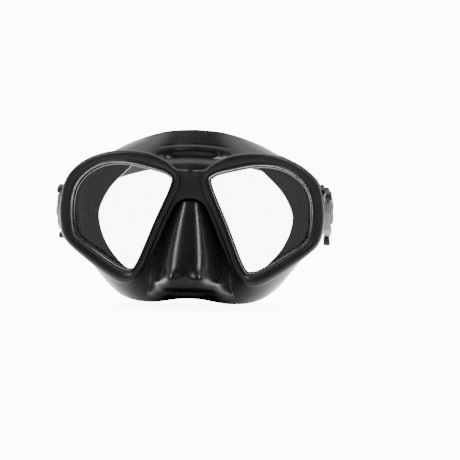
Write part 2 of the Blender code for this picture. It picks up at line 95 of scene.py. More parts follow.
# Front frame: the bezel round both windows, injection moulded in black ABS with a fine satin grain. A thin
# bead runs round each window, the band outside it is crowned, and a sunk bridge panel joins the two over
# the nose. It lies on two planes swept back from the bridge.
SIDES = (("left", 1), ("right", -1))
MM = 0.001
WELD = 0.000004
MIRROR_WELD = 0.00001
SWEEP = math.tan(math.radians(9.0))
RAKE = 0.06
BRIDGE_SOFTNESS = 0.006
BEZEL_DEPTH = 0.0060
CURVE_STEPS = 12
WINDOW = [(13.6, 25), (25, 28.8), (41.6, 32), (56.5, 30.3), (68.6, 22.4), (74.1, 11), (74.5, -5),
          (71.2, -14.8), (60, -22.6), (47.4, -30.6), (38.6, -34.2), (32.8, -30.4), (22, -4.5), (12, 19)]
BEZEL_HALF = [(0, 28.4), (8, 28.6), (14, 32.8), (25.6, 37.9), (41.8, 39.5), (56.7, 37.2), (70, 31),
              (79, 20.5), (82.3, 5), (82.2, -6), (79.8, -14.8), (73.5, -21.8), (57.8, -33.7), (46, -41),
              (39, -42.6), (33.2, -39.6), (26.5, -30), (20.5, -18.4), (11.3, 2.8), (6.6, 9), (0, 10.9)]
BAND_AT_NOSE = 0.0052
NOSE_TURN = (0.45, 0.80)
BAND_BLUR = 4
# Depth behind the front surface at fractions of the way from window to outer edge, millimetres.
BAND_PROFILE = [(0.0, 6.1), (0.0, 1.7), (0.015, 1.15), (0.05, 0.75), (0.10, 0.60), (0.155, 0.68), (0.20, 1.0),
                (0.24, 1.22), (0.29, 1.05), (0.36, 0.68), (0.46, 0.32), (0.58, 0.10), (0.70, 0.08),
                (0.80, 0.30), (0.88, 0.72), (0.94, 1.25)]
OUTER_EDGE_DEPTH = 0.0021
PANEL_DEPTH = 0.0021
PANEL_ROWS = 16
BAR_DEPTH = 0.0004
BAR_LOW = 0.0243
BAR_RISE = 0.0018
RIM_ROUND = 0.0013
LAST_PART = 0.70
PANEL_LEAST = 0.00004
EDGE_LAND = 0.0008
HOLE_BEHIND = 0.005
MIDDLE_LINE = 0.00002


def smooth_curve(points, steps, closed=True):
    """A Catmull-Rom curve through points of any dimension, with a count of steps or a list of them."""
    count = len(points)
    result = []
    spans = count if closed else count - 1
    steps = [steps] * spans if isinstance(steps, int) else steps
    for i in range(spans):
        near = [(i + k) % count if closed else min(max(i + k, 0), count - 1) for k in (-1, 0, 1, 2)]
        a, b, c, d = (Vector(points[k]) for k in near)
        for step in range(steps[i]):
            t = step / steps[i]
            bend = (c - a) * t + (2 * a - 5 * b + 4 * c - d) * t * t + (3 * b - a - 3 * c + d) * t ** 3
            result.append(b + bend * 0.5)
    if not closed:
        result.append(Vector(points[-1]))
    return result


def outward(loop, i):
    """The outward normal of a clockwise flat loop at a point."""
    along = (loop[(i + 1) % len(loop)] - loop[i - 1]).normalized()
    return Vector((-along.y, along.x))


def grown(loop, amount):
    return [point + outward(loop, i) * amount for i, point in enumerate(loop)]


def front_y(x, z):
    """The bezel's front surface, with the fold at the bridge rounded."""
    return bezel_face + SWEEP * math.hypot(x, BRIDGE_SOFTNESS) - RAKE * z


def on_front(flat, depth):
    return Vector((flat.x, front_y(flat.x, flat.y) + depth, flat.y))


def reach(point, direction, loop):
    """How far from a point in a direction the loop lies."""
    best = 1.0
    for a, b in zip(loop, loop[1:] + loop[:1]):
        side = b - a
        cross = direction.cross(side)
        if abs(cross) < 1e-12:
            continue
        t = (a - point).cross(side) / cross
        s = (a - point).cross(direction) / cross
        if t > 0 and 0 <= s <= 1:
            best = min(best, t)
    return best


def ease(t):
    t = min(max(t, 0.0), 1.0)
    return t * t * (3 - 2 * t)


def loop_edges(bm, points, closed=True):
    verts = [bm.verts.new(point) for point in points]
    pairs = list(zip(verts, verts[1:] + verts[:1])) if closed else list(zip(verts, verts[1:]))
    return [bm.edges.new(pair) for pair in pairs]


def next_loop(bm, edges, place):
    """Extrudes a chain of edges and moves each new vertex to place(vertex)."""
    made = bmesh.ops.extrude_edge_only(bm, edges=edges)
    fresh = [item for item in made["geom"] if isinstance(item, bmesh.types.BMEdge)]
    for vert in {vert for edge in fresh for vert in edge.verts}:
        vert.co = place(vert)
    return fresh


def strip(bm, rows, closed=True):
    """A sheet through rows of points of equal count: the first is extruded from row to row."""
    number = bm.verts.layers.int.get("number") or bm.verts.layers.int.new("number")
    edges = loop_edges(bm, rows[0], closed)
    chain = [edges[0].verts[0]] + [edge.verts[1] for edge in edges]
    for i, vert in enumerate(chain[:len(rows[0])]):
        vert[number] = i
    for row in rows[1:]:
        edges = next_loop(bm, edges, lambda vert: row[vert[number]])


def mirrored_half(bm):
    bmesh.ops.mirror(bm, geom=bm.verts[:] + bm.edges[:] + bm.faces[:], matrix=Matrix(),
                     merge_dist=MIRROR_WELD, axis="X")


def to_side(bm, side):
    bmesh.ops.scale(bm, verts=bm.verts, vec=(side, 1, 1))


def finish_mesh(bm, name, body, material, sharp=35, recalculate=True):
    """Welds, turns the faces outwards, shades and hands the piece to its body and slot."""
    bmesh.ops.remove_doubles(bm, verts=bm.verts, dist=WELD)
    if recalculate:
        bmesh.ops.recalc_face_normals(bm, faces=bm.faces)
    mesh = bpy.data.meshes.new(name)
    bm.to_mesh(mesh)
    bm.free()
    mesh.shade_smooth()
    mesh.set_sharp_from_angle(angle=math.radians(sharp))
    mesh.materials.append(material)
    piece = bpy.data.objects.new(name, mesh)
    bpy.context.scene.collection.objects.link(piece)
    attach(piece, body)
    return piece


def shader_of(name):
    """A new material with its tree, output shader and object coordinates."""
    made = bpy.data.materials.new(name)
    made.use_nodes = True
    tree = made.node_tree
    place = tree.nodes.new("ShaderNodeTexCoord").outputs["Object"]
    return made, tree, tree.nodes["Principled BSDF"], place


def noise_field(tree, place, scale, detail=3.0, rough=0.55):
    texture = tree.nodes.new("ShaderNodeTexNoise")
    texture.inputs["Scale"].default_value = scale
    texture.inputs["Detail"].default_value = detail
    texture.inputs["Roughness"].default_value = rough
    tree.links.new(place, texture.inputs["Vector"])
    return texture.outputs["Fac"]


def between(tree, factor, low, high, start=0.3, end=0.7):
    """The factor remapped from start..end to low..high."""
    span = tree.nodes.new("ShaderNodeMapRange")
    span.inputs["From Min"].default_value = start
    span.inputs["From Max"].default_value = end
    span.inputs["To Min"].default_value = low
    span.inputs["To Max"].default_value = high
    tree.links.new(factor, span.inputs["Value"])
    return span.outputs["Result"]


def tint(tree, factor, stops):
    """A colour ramp over the factor; stops are (position, (r, g, b))."""
    ramp = tree.nodes.new("ShaderNodeValToRGB")
    ramp.color_ramp.elements[0].position = stops[0][0]
    ramp.color_ramp.elements[0].color = (*stops[0][1], 1)
    ramp.color_ramp.elements[1].position = stops[-1][0]
    ramp.color_ramp.elements[1].color = (*stops[-1][1], 1)
    for position, colour in stops[1:-1]:
        ramp.color_ramp.elements.new(position).color = (*colour, 1)
    tree.links.new(factor, ramp.inputs["Fac"])
    return ramp.outputs["Color"]


def bump(tree, shader, height, distance, strength=1.0, under=None):
    """Adds a bump of a height in metres, on top of one made before."""
    node = tree.nodes.new("ShaderNodeBump")
    node.inputs["Distance"].default_value = distance
    node.inputs["Strength"].default_value = strength
    tree.links.new(height, node.inputs["Height"])
    if under:
        tree.links.new(under, node.inputs["Normal"])
    tree.links.new(node.outputs["Normal"], shader.inputs["Normal"])
    return node.outputs["Normal"]


def satin_abs(name, dark, light, rough_low, rough_high):
    """Moulded ABS: spark-eroded grain, faint flow marks in the colour, handling marks in the gloss."""
    made, tree, shader, place = shader_of(name)
    cloud = noise_field(tree, place, 55, 4)
    tree.links.new(tint(tree, cloud, [(0.3, dark), (0.7, light)]), shader.inputs["Base Color"])
    rub = noise_field(tree, place, 140, 5, 0.7)
    tree.links.new(between(tree, rub, rough_low, rough_high), shader.inputs["Roughness"])
    grain = noise_field(tree, place, 4200, 2)
    fine = bump(tree, shader, grain, 0.00003, 0.35)
    bump(tree, shader, cloud, 0.0003, 0.12, fine)
    shader.inputs["Specular IOR Level"].default_value = 0.5
    return made


window = [point * MM for point in smooth_curve(WINDOW, CURVE_STEPS)]
bezel_whole = BEZEL_HALF + [(-x, z) for x, z in BEZEL_HALF[-2:0:-1]]
outline = [point * MM for point in smooth_curve(bezel_whole, CURVE_STEPS)]
half_count = CURVE_STEPS * (len(BEZEL_HALF) - 1) + 1
half_outline = outline[:half_count]
bezel_face = bezel_high.y - SWEEP * bezel_high.x - BEZEL_DEPTH
bezel_plastic = satin_abs("bezel_abs", (0.0085, 0.0085, 0.0090), (0.0125, 0.0125, 0.0130), 0.30, 0.42)

# Each window point's way out to the edge or the middle line, and how much of it the crowned band takes.
reaches = [reach(point, outward(window, i), half_outline) for i, point in enumerate(window)]
widths = []
for i, whole in enumerate(reaches):
    towards_nose = ease((-outward(window, i).x - NOSE_TURN[0]) / (NOSE_TURN[1] - NOSE_TURN[0]))
    widths.append(whole + (min(whole, BAND_AT_NOSE) - whole) * towards_nose)
for _ in range(BAND_BLUR):
    blurred = [(widths[i - 1] + widths[i] * 2 + widths[(i + 1) % len(widths)]) / 4
               for i in range(len(widths))]
    widths = [min(a, b) for a, b in zip(blurred, reaches)]


def band_point(i, part):
    return window[i] + outward(window, i) * widths[i] * part


def to_edge(flat):
    """Distance from a flat point to the bezel's edge."""
    best = 1.0
    for a, b in zip(half_outline, half_outline[1:]):
        side = b - a
        t = min(max((flat - a).dot(side) / side.length_squared, 0.0), 1.0)
        best = min(best, (flat - a - side * t).length)
    return best


def panel_depth(flat):
    """The sunk panel, the raised bar over it, and the rounding towards the edge."""
    bar = ease((flat.y - BAR_LOW) / BAR_RISE)
    inner = PANEL_DEPTH + (BAR_DEPTH - PANEL_DEPTH) * bar
    return inner + (OUTER_EDGE_DEPTH - inner) * (1 - ease(to_edge(flat) / RIM_ROUND))


gaps = [whole - width for whole, width in zip(reaches, widths)]
first = last = gaps.index(max(gaps))
while gaps[(first - 1) % len(gaps)] > PANEL_LEAST:
    first -= 1
while gaps[(last + 1) % len(gaps)] > PANEL_LEAST:
    last += 1
run = [i % len(gaps) for i in range(first - 1, last + 2)]
end_depths = [OUTER_EDGE_DEPTH] * len(window)
for i in run[1:-1]:
    end_depths[i] = panel_depth(band_point(i, 1.0))
bm = bmesh.new()
rows = []
for part, depth in BAND_PROFILE + [(1.0, OUTER_EDGE_DEPTH / MM)]:
    late = max((part - LAST_PART) / (1 - LAST_PART), 0.0) ** 2
    rows.append([on_front(band_point(i, part), depth * MM + (end_depths[i] - OUTER_EDGE_DEPTH) * late)
                 for i in range(len(window))])
strip(bm, rows)
ends = {i: window[i] + outward(window, i) * reaches[i] for i in run}
for corner in (half_outline[0], half_outline[-1]):
    nearest = min(run, key=lambda i: (ends[i] - corner).length)
    ends[nearest] = corner
for i in (run[0], run[-1]):
    ends[i] = band_point(i, 1.0)
for i in run:
    if abs(ends[i].x) < MIRROR_WELD:
        ends[i] = Vector((0.0, ends[i].y))
panel_rows = []
for r in range(PANEL_ROWS + 1):
    flats = [band_point(i, 1.0).lerp(ends[i], r / PANEL_ROWS) for i in run]
    panel_rows.append([on_front(flat, panel_depth(flat)) for flat in flats])
panel_rows[0] = [on_front(band_point(i, 1.0), end_depths[i]) for i in run]
for r in range(PANEL_ROWS + 1):
    for k in (0, -1):
        panel_rows[r][k] = panel_rows[0][k]
strip(bm, panel_rows, closed=False)
bmesh.ops.remove_doubles(bm, verts=bm.verts, dist=WELD)


def is_free(edge):
    middle = (edge.verts[0].co + edge.verts[1].co) / 2
    return edge.is_boundary and middle.x > MIDDLE_LINE


free = []
hole = []
for edge in bm.edges:
    if not is_free(edge):
        continue
    middle = (edge.verts[0].co + edge.verts[1].co) / 2
    behind = middle.y - front_y(middle.x, middle.z)
    (hole if behind > HOLE_BEHIND else free).append(edge)
rounded = next_loop(bm, free, lambda vert: vert.co + Vector((0, EDGE_LAND, 0)))
side_edges = next_loop(bm, rounded, lambda vert: on_front(vert.co.xz, BEZEL_DEPTH))
corners = [vert for edge in side_edges for vert in edge.verts if abs(vert.co.x) < MIRROR_WELD]
back_edges = side_edges + hole + [bm.edges.new(corners)]
bmesh.ops.triangle_fill(bm, edges=back_edges, use_beauty=True, normal=(0, 1, 0))
mirrored_half(bm)
bezel = finish_mesh(bm, "bezel", "mask", bezel_plastic)
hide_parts("front_frame")

# Clamp frame: the black retainer plate behind the bezel. It snaps to the bezel from the back and pinches the
# skirt's collars round the lenses, so only its edge shows at the sides. Moulded in the same ABS, left matt.
CLAMP_INSET = 0.0010
COLLAR_OUT = 0.0036
COLLAR_CLEAR = 0.0003
CLAMP_NEAR = 0.0063
CLAMP_FAR = 0.0093
CLAMP_EDGE = 0.0005
LENS_LAP = 0.0015
LENS_FAR = 0.0098
LENS_BEVEL = 0.0004
LENS_SHARP = 10


def pressed_sheet(place, along, outer, holes, near, far, edge, mirrored=False):
    """A flat sheet from near to far, its rims rounded; place puts a flat point at a depth."""
    bm = bmesh.new()
    edges = loop_edges(bm, [place(point, near) for point in outer])
    for hole_loop in holes:
        edges += loop_edges(bm, [place(point, near) for point in hole_loop])
    bmesh.ops.triangle_fill(bm, edges=edges, use_beauty=True, normal=-along)
    if mirrored:
        mirrored_half(bm)
    made = bmesh.ops.extrude_face_region(bm, geom=bm.faces[:], use_keep_orig=True)
    moved = [item for item in made["geom"] if isinstance(item, bmesh.types.BMVert)]
    bmesh.ops.translate(bm, verts=moved, vec=along * (far - near))
    bmesh.ops.recalc_face_normals(bm, faces=bm.faces)
    round_rims(bm, edge)
    return bm


def round_rims(bm, edge, least=1.2):
    """Rounds every edge that turns by more than least radians."""
    rims = [rim for rim in bm.edges if rim.calc_face_angle(0) > least]
    bmesh.ops.bevel(bm, geom=rims, offset=edge, offset_type="OFFSET", segments=3, profile=0.5,
                    affect="EDGES", material=-1)


def flipped(loop):
    return [Vector((-point.x, point.y)) for point in reversed(loop)]


clamp_abs = satin_abs("clamp_abs", (0.010, 0.010, 0.0105), (0.016, 0.016, 0.0165), 0.48, 0.62)
clamp_outer = grown(outline, -CLAMP_INSET)[:half_count]
clamp_outer[0].x = 0.0
clamp_outer[-1].x = 0.0
clamp_hole = grown(window, COLLAR_OUT + COLLAR_CLEAR)
BACK = Vector((0, 1, 0))
bm = pressed_sheet(on_front, BACK, clamp_outer, [clamp_hole], CLAMP_NEAR, CLAMP_FAR, CLAMP_EDGE,
                   mirrored=True)
clamp = finish_mesh(bm, "clamp", "mask", clamp_abs)
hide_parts("clamp_frame")

# Lenses: two flat panes of 3.5 mm tempered glass with ground edges, seated in the skirt's collars.
made_glass, glass_tree, glass_shader, glass_place = shader_of("tempered_glass")
glass_shader.inputs["Base Color"].default_value = (0.985, 1.0, 0.995, 1)
glass_shader.inputs["Transmission Weight"].default_value = 1.0
glass_shader.inputs["IOR"].default_value = 1.46
smear = noise_field(glass_tree, glass_place, 60, 4, 0.6)
glass_tree.links.new(between(glass_tree, smear, 0.0, 0.02, 0.45, 0.75), glass_shader.inputs["Roughness"])
pane = grown(window, LENS_LAP)
for word, loop in (("left", pane), ("right", flipped(pane))):
    bm = pressed_sheet(on_front, BACK, loop, [], CLAMP_NEAR, LENS_FAR, LENS_BEVEL)
    lens = finish_mesh(bm, word + "_pane", "mask", made_glass, sharp=LENS_SHARP)
    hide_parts(word + "_lens")

# Skirt: one moulding of black liquid silicone. Two collars hold the panes, the wall runs back to a rim that
# turns in as the face seal, the nose pocket stands forward between the bezel's legs, and a roll across the
# forehead lets the wall flex. It comes glossy from a polished tool.
WALL = 0.0018
ROWS = 104
SPAN_STEPS = [10] * 3 + [7] * 12 + [18, 18, 20, 10, 10]
TUCK = 0.0040
WALL_START = 0.0096
WALL_ROWS = 9
WALL_DENSE = 24
LIP_DENSE = 16
LIP_OVERLAP = 6
LIP_TURN_AT = 0.22
LIP_TURN_BACK = 0.55
LIP_LATE = 0.6
# Where each point of the half outline ends on the rim, and then on the seal's inner edge, millimetres.
RIM = [(0, 55), (14, 54.2), (22, 52.8), (32, 50), (46, 44.6), (58, 37), (67, 26), (71.8, 15), (73, 3),
       (72, -9), (69.5, -19), (65.5, -29), (57.5, -41.5), (49, -49.2), (41.5, -53), (34, -54.7), (26, -55),
       (19, -54.3), (11, -53), (6, -52.3), (0, -52)]
SEAL = [(0, 43), (11, 42.5), (17, 41.5), (26, 39), (38, 33.5), (47, 26), (55, 18), (60.5, 9), (62.8, 1),
        (61.5, -8), (58.5, -15.5), (54, -22.5), (47.5, -29.5), (41, -34.5), (36, -37), (31, -38.8),
        (25, -39.6), (19, -39.6), (11, -38.8), (6, -38.2), (0, -38)]
RIM_HALF_WIDTH = 0.073
RIM_SET_BACK = 0.024
SEAL_MIDDLE_Y = -0.014
RIM_TURN = 0.0022
BELLY = 0.0022
# Nose ridge: height, how far forward and the half width of its foot, millimetres.
RIDGE = [(13, -44.5, 7.4), (10.5, -47.2, 8.2), (7, -49.6, 9.8), (3, -51.8, 11.6), (0, -53.3, 13.0),
         (-12, -58.8, 18.0), (-24, -64.2, 22.0), (-33, -68.0, 24.0), (-38, -69.4, 24.6), (-41.5, -68.6, 25.0),
         (-44, -64.6, 25.4), (-45.8, -58.0, 26.0), (-47.2, -50.0, 26.6), (-48.8, -40.0, 27.4),
         (-50.5, -31.5, 28.0), (-53, -26.0, 29.0), (-60, -25.0, 29.0)]
RIDGE_STEPS = 6
RIDGE_BOW = 3.5
RIDGE_FOOT = 1.2
NOSE_TOP = 0.0135
NOSE_FADE = 0.004
# Soft swellings of the nose: side and height, spreads, and how far out: nostrils, feet and the cleft.
SWELLINGS = [(9.0, -37.5, 4.6, 4.6, 2.6), (19.5, -41.0, 4.0, 3.2, 3.6), (0, -41.0, 3.4, 4.5, -1.8)]
# Forehead bellows: height and half thickness of each fold, and how far out: groove, roll and valley.
FOLDS = [(44.9, 0.6, -0.30), (41.4, 2.8, 0.6), (36.9, 3.2, -2.4)]
FOLD_HALF_WIDTH = 0.026
FOLD_SAG = 0.0026
FOLD_LOW = 0.029

ridge = [Vector(row) * MM for row in smooth_curve(RIDGE, RIDGE_STEPS, closed=False)]


def ridge_at(z):
    """The nose ridge's y and the half width of its foot at a height."""
    for above, below in zip(ridge, ridge[1:]):
        if z >= below[0]:
            t = min(max((above[0] - z) / (above[0] - below[0]), 0.0), 1.0)
            return above.lerp(below, t)[1:]
    return ridge[-1][1:]


def hill(distance, spread):
    return math.exp(-(distance / spread) ** 2)


def skirt_point(base):
    """Moves a point of the plain wall forward where the nose pocket is, and folds the forehead."""
    x, y, z = base
    side = abs(x)
    if z < NOSE_TOP:
        ridge_y, foot = ridge_at(z)
        share = (1 - min(side / foot, 1.0) ** RIDGE_BOW) ** RIDGE_FOOT
        y += min(ridge_y - y, 0.0) * ease((NOSE_TOP - z) / NOSE_FADE) * share
        for at, height, wide, tall, out in SWELLINGS:
            y -= out * MM * hill(side - at * MM, wide * MM) * hill(z - height * MM, tall * MM)
    if z > FOLD_LOW:
        across = max(1 - (side / FOLD_HALF_WIDTH) ** 2, 0.0)
        sag = FOLD_SAG * (1 - across)
        for height, thick, out in FOLDS:
            y -= out * MM * ease(across) * hill(z - height * MM + sag, thick * MM)
    return Vector((x, y, z))


def rim_y(x):
    return -RIM_SET_BACK * (1 - (x / RIM_HALF_WIDTH) ** 2)


def column(start, rim, seal):
    """One line of the skirt from behind the bezel over the wall and rim to the seal's edge."""
    first = on_front(start, WALL_START)
    last = Vector((rim.x, rim_y(rim.x), rim.y))
    away = Vector((rim.x, 0, rim.y)).normalized()
    wall = []
    for k in range(WALL_ROWS):
        t = k / WALL_ROWS
        wall.append(first.lerp(last, t) + away * (BELLY * math.sin(math.pi * t)))
    dense = [skirt_point(point) for point in smooth_curve(wall + [last], WALL_DENSE, closed=False)]
    seal_y = SEAL_MIDDLE_Y + (rim_y(rim.x) - SEAL_MIDDLE_Y) * seal.length / rim.length
    inside = Vector((seal.x, seal_y, seal.y))
    turn = last.lerp(inside, LIP_TURN_AT) + Vector((0, RIM_TURN * LIP_TURN_BACK, 0))
    late = last.lerp(inside, LIP_LATE)
    lip = smooth_curve([dense[-LIP_OVERLAP], last, turn, late, inside], LIP_DENSE, closed=False)
    return dense[:-1] + lip[LIP_DENSE:]


def resampled(line, count):
    """Evenly spaced points along a line."""
    lengths = [0.0]
    for a, b in zip(line, line[1:]):
        lengths.append(lengths[-1] + (b - a).length)
    result = []
    j = 0
    for k in range(count):
        target = lengths[-1] * k / (count - 1)
        while j < len(line) - 2 and lengths[j + 1] < target:
            j += 1
        t = (target - lengths[j]) / max(lengths[j + 1] - lengths[j], 1e-9)
        result.append(line[j].lerp(line[j + 1], min(t, 1.0)))
    return result


def silicone_of(name, dark, light, rough_low, rough_high, specular):
    """Moulded silicone: deep black, smooth, with handling smudges and a slight orange-peel skin."""
    made, tree, shader, place = shader_of(name)
    cloud = noise_field(tree, place, 30, 4)
    tree.links.new(tint(tree, cloud, [(0.3, dark), (0.7, light)]), shader.inputs["Base Color"])
    smudge = noise_field(tree, place, 90, 6, 0.65)
    tree.links.new(between(tree, smudge, rough_low, rough_high), shader.inputs["Roughness"])
    skin = noise_field(tree, place, 700, 2)
    fine = bump(tree, shader, skin, 0.00002, 0.15)
    bump(tree, shader, cloud, 0.0004, 0.10, fine)
    shader.inputs["Specular IOR Level"].default_value = specular
    return made


silicone = silicone_of("skirt_silicone", (0.0060, 0.0060, 0.0064), (0.0088, 0.0088, 0.0092),
                       0.22, 0.31, 0.60)
# Inner face of the skirt: matt silicone, a little darker than the outside, with a warm brown tint that is a
# painted reflection.
matt_silicone = silicone_of("matt_silicone", (0.0045, 0.0043, 0.0043), (0.0070, 0.0066, 0.0066),
                            0.62, 0.75, 0.15)
tuck_half = smooth_curve(BEZEL_HALF, SPAN_STEPS, closed=False)
tuck_whole = [point * MM for point in tuck_half + [Vector((-p.x, p.y)) for p in reversed(tuck_half[1:-1])]]
tucked = grown(tuck_whole, -TUCK)[:len(tuck_half)]
tucked[0].x = 0.0
tucked[-1].x = 0.0
rim_half = [point * MM for point in smooth_curve(RIM, SPAN_STEPS, closed=False)]
seal_half = [point * MM for point in smooth_curve(SEAL, SPAN_STEPS, closed=False)]
columns = [resampled(column(a, b, c), ROWS) for a, b, c in zip(tucked, rim_half, seal_half)]
bm = bmesh.new()
strip(bm, columns, closed=False)
mirrored_half(bm)
skirt = finish_mesh(bm, "silicone_skirt", "mask", silicone)
skirt.data.materials.append(matt_silicone)
wall = skirt.modifiers.new("Wall", "SOLIDIFY")
wall.thickness = WALL
wall.offset = -1
wall.material_offset = 1
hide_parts("skirt")

# Lens collars: part of the same silicone, a groove round each pane with a narrow ledge behind the glass.
COLLAR_SECTION = [(0.0018, 0.0063), (0.0018, 0.0100), (-0.0006, 0.0101), (-0.0009, 0.0108), (-0.0006, 0.0117),
                  (0.0046, 0.0119), (0.0052, 0.0110), (0.0036, 0.0096), (0.0036, 0.0063)]
for word, side in SIDES:
    bm = bmesh.new()
    rows = [[on_front(point, depth) for point in grown(window, out)] for out, depth in COLLAR_SECTION]
    strip(bm, rows + rows[:1])
    to_side(bm, side)
    finish_mesh(bm, word + "_lens_collar", "mask", silicone)

# Buckle bases: one grey ABS turning each side, a round plate with a domed pivot pin, on a flat tongue that
# slides into the clamp frame behind the bezel's edge.
joint_places = {joint["name"]: joint.get("pos_m") for joint in frame["joints"]}
press_axes = {joint["name"]: Vector(joint["axis"]) for joint in frame["joints"]}
PIVOT = Vector(joint_places["strap_swing"])
STRAP_X = joint_places["left_roller_spin"][0]
TURN_STEPS = 64
# Half section of plate, pin and domed head: place along the pin and radius, millimetres.
HUB_SECTION = [(80.3, 0), (80.3, 6.5), (80.42, 6.9), (80.8, 7.2), (82.1, 7.2), (82.48, 7.0), (82.6, 6.6),
               (82.6, 5.2), (82.35, 4.9), (82.35, 3.0), (82.6, 2.7), (82.6, 2.2), (87.8, 2.2), (87.8, 3.2),
               (87.92, 3.48), (88.2, 3.6), (88.5, 3.5), (88.8, 3.1), (88.9, 2.5), (88.8, 1.9), (88.55, 1.5),
               (88.5, 0)]
TONGUE_LOW = (80.3, -29.1, -5.8)
TONGUE_HIGH = (82.6, -19.6, 5.8)
TONGUE_EDGE = 0.0005
TONGUE_RIBS = (-3.4, 0.0, 3.4)
RIB_LOW = (82.2, -28.0, -0.5)
RIB_HIGH = (82.72, -20.4, 0.5)
RIB_ROUND = 0.0003


def turned(bm, section, origin, axis, out):
    """Spins a half section, given as places along the axis and radii in millimetres, into a closed solid."""
    verts = [bm.verts.new(origin + axis * along * MM + out * radius * MM) for along, radius in section]
    edges = [bm.edges.new(pair) for pair in zip(verts, verts[1:])]
    bmesh.ops.spin(bm, geom=verts + edges, cent=origin, axis=axis, dvec=(0, 0, 0),
                   angle=math.radians(360), steps=TURN_STEPS, use_merge=True)
    bmesh.ops.remove_doubles(bm, verts=bm.verts, dist=WELD)


def block(bm, low, high, edge):
    """A box between two corners in millimetres, its edges rounded."""
    low = Vector(low) * MM
    high = Vector(high) * MM
    cube = bmesh.ops.create_cube(bm, size=1.0)["verts"]
    bmesh.ops.scale(bm, verts=cube, vec=high - low)
    bmesh.ops.translate(bm, verts=cube, vec=(low + high) / 2)
    rims = list({rim for vert in cube for rim in vert.link_edges})
    bmesh.ops.bevel(bm, geom=rims, offset=edge, offset_type="OFFSET", segments=3, profile=0.5,
                    affect="EDGES", material=-1)


buckle_abs = satin_abs("buckle_abs", (0.27, 0.265, 0.285), (0.33, 0.325, 0.345), 0.30, 0.44)
for word, side in SIDES:
    bm = bmesh.new()
    turned(bm, HUB_SECTION, Vector((0, PIVOT.y, PIVOT.z)), Vector((1, 0, 0)), Vector((0, 0, 1)))
    raised = Vector((0, 0, PIVOT.z / MM))
    block(bm, Vector(TONGUE_LOW) + raised, Vector(TONGUE_HIGH) + raised, TONGUE_EDGE)
    for height in TONGUE_RIBS:
        shift = raised + Vector((0, 0, height))
        block(bm, Vector(RIB_LOW) + shift, Vector(RIB_HIGH) + shift, RIB_ROUND)
    to_side(bm, side)
    hub = finish_mesh(bm, word + "_buckle_hub", "mask", buckle_abs)
    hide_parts(word + "_buckle_base")

# Buckle bodies: a yoke of the same grey ABS on the pivot, with an arm above and below the roller, a shallow
# panel sunk in its outer face and a stiffening bead along each arm.
YOKE_NEAR = 0.0829
YOKE_FAR = 0.0875
YOKE_HALF = [(-6.5, 5.5), (-5.2, 8.4), (-1.5, 12), (14.5, 12), (16, 10.5), (16, 7.7), (7.4, 7.7), (5.6, 5.5)]
YOKE_EDGE = 0.0005
YOKE_CORNER = 0.0010
YOKE_INSET = 0.0011
YOKE_SINK = 0.0005
PIN_HOLE = 0.0025
HOLE_STEPS = 40
BEAD_RADIUS = 0.0010
BEAD_HEIGHT = 0.0099
BEAD_ENDS = (-0.0012, 0.0142)
BEAD_STEPS = 24
BEAD_BLUNT = 0.4
swing = Matrix.Rotation(math.asin(press_axes["left_upper_press"].y), 4, "X")
strap_place = Matrix.Translation(PIVOT) @ swing


def tilted(bm, side):
    """Takes a piece drawn level about the pivot to its side and to the strap's tilt."""
    to_side(bm, side)
    bmesh.ops.transform(bm, matrix=strap_place, verts=bm.verts)


def on_side(flat, depth):
    return Vector((depth, flat.x, flat.y))


yoke_half = [Vector(point) * MM for point in YOKE_HALF]
yoke = yoke_half + [Vector((point.x, -point.y)) for point in reversed(yoke_half)]
pin_hole = [Vector((math.cos(turn), math.sin(turn))) * PIN_HOLE
            for turn in (2 * math.pi * k / HOLE_STEPS for k in range(HOLE_STEPS))]


def rounded_corners(loop, radius, steps=4):
    """A polygon with each corner turned into a short curve."""
    result = []
    for i, corner in enumerate(loop):
        before = (loop[i - 1] - corner).normalized() * radius
        after = (loop[(i + 1) % len(loop)] - corner).normalized() * radius
        for k in range(steps + 1):
            t = k / steps
            result.append(corner + before * (1 - t) ** 2 + after * t ** 2)
    return result


for word, side in SIDES:
    bm = pressed_sheet(on_side, Vector((1, 0, 0)), rounded_corners(yoke, YOKE_CORNER), [pin_hole],
                       YOKE_NEAR, YOKE_FAR, YOKE_EDGE)
    panel = [face for face in bm.faces if face.normal.x > 0.999]
    bmesh.ops.inset_region(bm, faces=panel, thickness=YOKE_INSET, depth=-YOKE_SINK, use_even_offset=True,
                           use_boundary=True)
    for level in (1, -1):
        rod = []
        for k in range(BEAD_STEPS + 1):
            t = k / BEAD_STEPS
            along = BEAD_ENDS[0] + (BEAD_ENDS[1] - BEAD_ENDS[0]) * (0.5 - 0.5 * math.cos(math.pi * t))
            swell = math.sin(math.pi * t) ** BEAD_BLUNT if 0 < k < BEAD_STEPS else 0
            rod.append((along / MM, BEAD_RADIUS / MM * swell))
        turned(bm, rod, Vector((YOKE_FAR, 0, level * BEAD_HEIGHT)), Vector((0, 1, 0)), Vector((1, 0, 0)))
    tilted(bm, side)
    body = finish_mesh(bm, word + "_buckle_yoke", "strap_assembly", buckle_abs)
    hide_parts(word + "_buckle_body")

